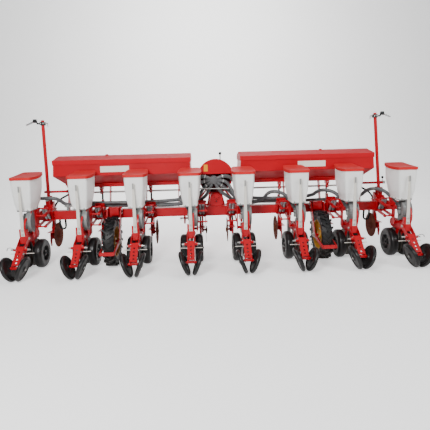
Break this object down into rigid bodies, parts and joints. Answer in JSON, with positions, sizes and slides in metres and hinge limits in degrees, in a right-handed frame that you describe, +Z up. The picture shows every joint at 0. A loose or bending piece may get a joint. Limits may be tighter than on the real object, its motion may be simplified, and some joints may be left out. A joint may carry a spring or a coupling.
{
  "type": "pneumatic row crop planter",
  "caption": "Mounted vacuum planter with rows of seed hoppers, gauge and closing wheels under long fertilizer tanks, with a central fan and folded row markers.",
  "frame": {"origin": "on the ground under the middle of the planter's box", "axes": "+X to the right seen from behind, +Y forward towards the tractor, +Z up"},
  "size_m": [5.2112, 1.442, 1.966],
  "materials": {
    "black_rubber": "smooth rubber",
    "disc_steel": "worn steel",
    "drive_tyre": "tyre rubber",
    "grey_casting": "cast aluminium",
    "grey_hose": "ribbed hose",
    "grey_steel": "coiled spring steel",
    "lid_paint": "faded gloss paint",
    "ochre_paint": "worn paint",
    "red_paint": "gloss paint",
    "red_plastic": "moulded plastic",
    "rusty_steel": "rusty steel",
    "white_plastic": "translucent moulded plastic",
    "zinc_steel": "zinc plated"
  },
  "bodies": {
    "frame": {"toolbar": "red_paint", "linkages": "red_paint", "row_springs": "grey_steel", "row_frames": "red_paint", "opener_discs": "disc_steel", "metering_units": "grey_casting", "seed_hoppers": "white_plastic", "closing_arms": "red_paint", "depth_levers": "zinc_steel", "coulter_shanks": "red_paint", "coulter_discs": "rusty_steel", "fertilizer_tanks": "red_paint", "tank_stands": "red_paint", "fan_housing": "red_paint", "vacuum_manifold": "grey_casting", "marker_masts": "red_paint", "wheel_forks": "red_paint", "hoses": "grey_hose"},
    "closing_wheel_left_1": {"closing_wheel_left_1": "black_rubber"},
    "closing_wheel_right_1": {"closing_wheel_right_1": "black_rubber"},
    "closing_wheel_left_2": {"closing_wheel_left_2": "black_rubber"},
    "closing_wheel_right_2": {"closing_wheel_right_2": "black_rubber"},
    "closing_wheel_left_3": {"closing_wheel_left_3": "black_rubber"},
    "closing_wheel_right_3": {"closing_wheel_right_3": "black_rubber"},
    "closing_wheel_left_4": {"closing_wheel_left_4": "black_rubber"},
    "closing_wheel_right_4": {"closing_wheel_right_4": "black_rubber"},
    "closing_wheel_left_5": {"closing_wheel_left_5": "black_rubber"},
    "closing_wheel_right_5": {"closing_wheel_right_5": "black_rubber"},
    "closing_wheel_left_6": {"closing_wheel_left_6": "black_rubber"},
    "closing_wheel_right_6": {"closing_wheel_right_6": "black_rubber"},
    "closing_wheel_left_7": {"closing_wheel_left_7": "black_rubber"},
    "closing_wheel_right_7": {"closing_wheel_right_7": "black_rubber"},
    "closing_wheel_left_8": {"closing_wheel_left_8": "black_rubber"},
    "closing_wheel_right_8": {"closing_wheel_right_8": "black_rubber"},
    "gauge_wheels_1": {"gauge_wheels_1": "black_rubber"},
    "gauge_wheels_2": {"gauge_wheels_2": "black_rubber"},
    "gauge_wheels_3": {"gauge_wheels_3": "black_rubber"},
    "gauge_wheels_4": {"gauge_wheels_4": "black_rubber"},
    "gauge_wheels_5": {"gauge_wheels_5": "black_rubber"},
    "gauge_wheels_6": {"gauge_wheels_6": "black_rubber"},
    "gauge_wheels_7": {"gauge_wheels_7": "black_rubber"},
    "gauge_wheels_8": {"gauge_wheels_8": "black_rubber"},
    "drive_wheel_left": {"drive_tyre_left": "drive_tyre", "drive_rim_left": "ochre_paint"},
    "drive_wheel_right": {"drive_tyre_right": "drive_tyre", "drive_rim_right": "ochre_paint"},
    "hopper_lid_1": {"hopper_lid_1": "red_plastic"},
    "hopper_lid_2": {"hopper_lid_2": "red_plastic"},
    "hopper_lid_3": {"hopper_lid_3": "red_plastic"},
    "hopper_lid_4": {"hopper_lid_4": "red_plastic"},
    "hopper_lid_5": {"hopper_lid_5": "red_plastic"},
    "hopper_lid_6": {"hopper_lid_6": "red_plastic"},
    "hopper_lid_7": {"hopper_lid_7": "red_plastic"},
    "hopper_lid_8": {"hopper_lid_8": "red_plastic"},
    "tank_lid_left": {"tank_lid_left": "lid_paint"},
    "tank_lid_right": {"tank_lid_right": "lid_paint"},
    "marker_arm_left": {"marker_arm_left": "red_paint"},
    "marker_arm_right": {"marker_arm_right": "red_paint"},
    "parking_leg_left": {"parking_leg_left": "zinc_steel"},
    "parking_leg_right": {"parking_leg_right": "zinc_steel"}
  },
  "joints": [
    {"name": "closing_wheel_left_1_spin", "type": "hinge", "parent": "frame", "child": "closing_wheel_left_1", "pos_m": [-2.532, -0.566, 0.1463], "axis": [0.9336, 0, 0.3584], "continuous": true},
    {"name": "closing_wheel_right_1_spin", "type": "hinge", "parent": "frame", "child": "closing_wheel_right_1", "pos_m": [-2.368, -0.566, 0.1463], "axis": [0.9336, 0, -0.3584], "continuous": true},
    {"name": "closing_wheel_left_2_spin", "type": "hinge", "parent": "frame", "child": "closing_wheel_left_2", "pos_m": [-1.832, -0.566, 0.1463], "axis": [0.9336, 0, 0.3584], "continuous": true},
    {"name": "closing_wheel_right_2_spin", "type": "hinge", "parent": "frame", "child": "closing_wheel_right_2", "pos_m": [-1.668, -0.566, 0.1463], "axis": [0.9336, 0, -0.3584], "continuous": true},
    {"name": "closing_wheel_left_3_spin", "type": "hinge", "parent": "frame", "child": "closing_wheel_left_3", "pos_m": [-1.132, -0.566, 0.1463], "axis": [0.9336, 0, 0.3584], "continuous": true},
    {"name": "closing_wheel_right_3_spin", "type": "hinge", "parent": "frame", "child": "closing_wheel_right_3", "pos_m": [-0.968, -0.566, 0.1463], "axis": [0.9336, 0, -0.3584], "continuous": true},
    {"name": "closing_wheel_left_4_spin", "type": "hinge", "parent": "frame", "child": "closing_wheel_left_4", "pos_m": [-0.432, -0.566, 0.1463], "axis": [0.9336, 0, 0.3584], "continuous": true},
    {"name": "closing_wheel_right_4_spin", "type": "hinge", "parent": "frame", "child": "closing_wheel_right_4", "pos_m": [-0.268, -0.566, 0.1463], "axis": [0.9336, 0, -0.3584], "continuous": true},
    {"name": "closing_wheel_left_5_spin", "type": "hinge", "parent": "frame", "child": "closing_wheel_left_5", "pos_m": [0.268, -0.566, 0.1463], "axis": [0.9336, 0, 0.3584], "continuous": true},
    {"name": "closing_wheel_right_5_spin", "type": "hinge", "parent": "frame", "child": "closing_wheel_right_5", "pos_m": [0.432, -0.566, 0.1463], "axis": [0.9336, 0, -0.3584], "continuous": true},
    {"name": "closing_wheel_left_6_spin", "type": "hinge", "parent": "frame", "child": "closing_wheel_left_6", "pos_m": [0.968, -0.566, 0.1463], "axis": [0.9336, 0, 0.3584], "continuous": true},
    {"name": "closing_wheel_right_6_spin", "type": "hinge", "parent": "frame", "child": "closing_wheel_right_6", "pos_m": [1.132, -0.566, 0.1463], "axis": [0.9336, 0, -0.3584], "continuous": true},
    {"name": "closing_wheel_left_7_spin", "type": "hinge", "parent": "frame", "child": "closing_wheel_left_7", "pos_m": [1.668, -0.566, 0.1463], "axis": [0.9336, 0, 0.3584], "continuous": true},
    {"name": "closing_wheel_right_7_spin", "type": "hinge", "parent": "frame", "child": "closing_wheel_right_7", "pos_m": [1.832, -0.566, 0.1463], "axis": [0.9336, 0, -0.3584], "continuous": true},
    {"name": "closing_wheel_left_8_spin", "type": "hinge", "parent": "frame", "child": "closing_wheel_left_8", "pos_m": [2.368, -0.566, 0.1463], "axis": [0.9336, 0, 0.3584], "continuous": true},
    {"name": "closing_wheel_right_8_spin", "type": "hinge", "parent": "frame", "child": "closing_wheel_right_8", "pos_m": [2.532, -0.566, 0.1463], "axis": [0.9336, 0, -0.3584], "continuous": true},
    {"name": "gauge_wheels_1_spin", "type": "hinge", "parent": "frame", "child": "gauge_wheels_1", "pos_m": [-2.45, -0.021, 0.19], "axis": [1, 0, 0], "continuous": true},
    {"name": "gauge_wheels_2_spin", "type": "hinge", "parent": "frame", "child": "gauge_wheels_2", "pos_m": [-1.75, -0.021, 0.19], "axis": [1, 0, 0], "continuous": true},
    {"name": "gauge_wheels_3_spin", "type": "hinge", "parent": "frame", "child": "gauge_wheels_3", "pos_m": [-1.05, -0.021, 0.19], "axis": [1, 0, 0], "continuous": true},
    {"name": "gauge_wheels_4_spin", "type": "hinge", "parent": "frame", "child": "gauge_wheels_4", "pos_m": [-0.35, -0.021, 0.19], "axis": [1, 0, 0], "continuous": true},
    {"name": "gauge_wheels_5_spin", "type": "hinge", "parent": "frame", "child": "gauge_wheels_5", "pos_m": [0.35, -0.021, 0.19], "axis": [1, 0, 0], "continuous": true},
    {"name": "gauge_wheels_6_spin", "type": "hinge", "parent": "frame", "child": "gauge_wheels_6", "pos_m": [1.05, -0.021, 0.19], "axis": [1, 0, 0], "continuous": true},
    {"name": "gauge_wheels_7_spin", "type": "hinge", "parent": "frame", "child": "gauge_wheels_7", "pos_m": [1.75, -0.021, 0.19], "axis": [1, 0, 0], "continuous": true},
    {"name": "gauge_wheels_8_spin", "type": "hinge", "parent": "frame", "child": "gauge_wheels_8", "pos_m": [2.45, -0.021, 0.19], "axis": [1, 0, 0], "continuous": true},
    {"name": "drive_wheel_left_spin", "type": "hinge", "parent": "frame", "child": "drive_wheel_left", "pos_m": [-1.4, -0.051, 0.325], "axis": [1, 0, 0], "continuous": true},
    {"name": "drive_wheel_right_spin", "type": "hinge", "parent": "frame", "child": "drive_wheel_right", "pos_m": [1.4, -0.051, 0.325], "axis": [1, 0, 0], "continuous": true},
    {"name": "hopper_lid_1_hinge", "type": "hinge", "parent": "frame", "child": "hopper_lid_1", "pos_m": [-2.45, 0.14, 1.238], "axis": [-1, 0, 0], "range_deg": [0, 82]},
    {"name": "hopper_lid_2_hinge", "type": "hinge", "parent": "frame", "child": "hopper_lid_2", "pos_m": [-1.75, 0.14, 1.238], "axis": [-1, 0, 0], "range_deg": [0, 82]},
    {"name": "hopper_lid_3_hinge", "type": "hinge", "parent": "frame", "child": "hopper_lid_3", "pos_m": [-1.05, 0.14, 1.238], "axis": [-1, 0, 0], "range_deg": [0, 82]},
    {"name": "hopper_lid_4_hinge", "type": "hinge", "parent": "frame", "child": "hopper_lid_4", "pos_m": [-0.35, 0.14, 1.238], "axis": [-1, 0, 0], "range_deg": [0, 82]},
    {"name": "hopper_lid_5_hinge", "type": "hinge", "parent": "frame", "child": "hopper_lid_5", "pos_m": [0.35, 0.14, 1.238], "axis": [-1, 0, 0], "range_deg": [0, 82]},
    {"name": "hopper_lid_6_hinge", "type": "hinge", "parent": "frame", "child": "hopper_lid_6", "pos_m": [1.05, 0.14, 1.238], "axis": [-1, 0, 0], "range_deg": [0, 82]},
    {"name": "hopper_lid_7_hinge", "type": "hinge", "parent": "frame", "child": "hopper_lid_7", "pos_m": [1.75, 0.14, 1.238], "axis": [-1, 0, 0], "range_deg": [0, 82]},
    {"name": "hopper_lid_8_hinge", "type": "hinge", "parent": "frame", "child": "hopper_lid_8", "pos_m": [2.45, 0.14, 1.238], "axis": [-1, 0, 0], "range_deg": [0, 82]},
    {"name": "tank_lid_left_hinge", "type": "hinge", "parent": "frame", "child": "tank_lid_left", "pos_m": [-1.275, 0.71, 1.342], "axis": [-1, 0, 0], "range_deg": [0, 85]},
    {"name": "tank_lid_right_hinge", "type": "hinge", "parent": "frame", "child": "tank_lid_right", "pos_m": [1.275, 0.71, 1.342], "axis": [-1, 0, 0], "range_deg": [0, 85]},
    {"name": "marker_arm_left_fold", "type": "hinge", "parent": "frame", "child": "marker_arm_left", "pos_m": [-2.32, 0.264, 0.88], "axis": [0, -1, 0], "range_deg": [0, 90]},
    {"name": "marker_arm_right_fold", "type": "hinge", "parent": "frame", "child": "marker_arm_right", "pos_m": [2.32, 0.264, 0.88], "axis": [0, 1, 0], "range_deg": [0, 90]},
    {"name": "parking_leg_left_slide", "type": "slide", "parent": "frame", "child": "parking_leg_left", "axis": [0, 0, 1], "range_m": [0, 0.2]},
    {"name": "parking_leg_right_slide", "type": "slide", "parent": "frame", "child": "parking_leg_right", "axis": [0, 0, 1], "range_m": [0, 0.2]}
  ]
}
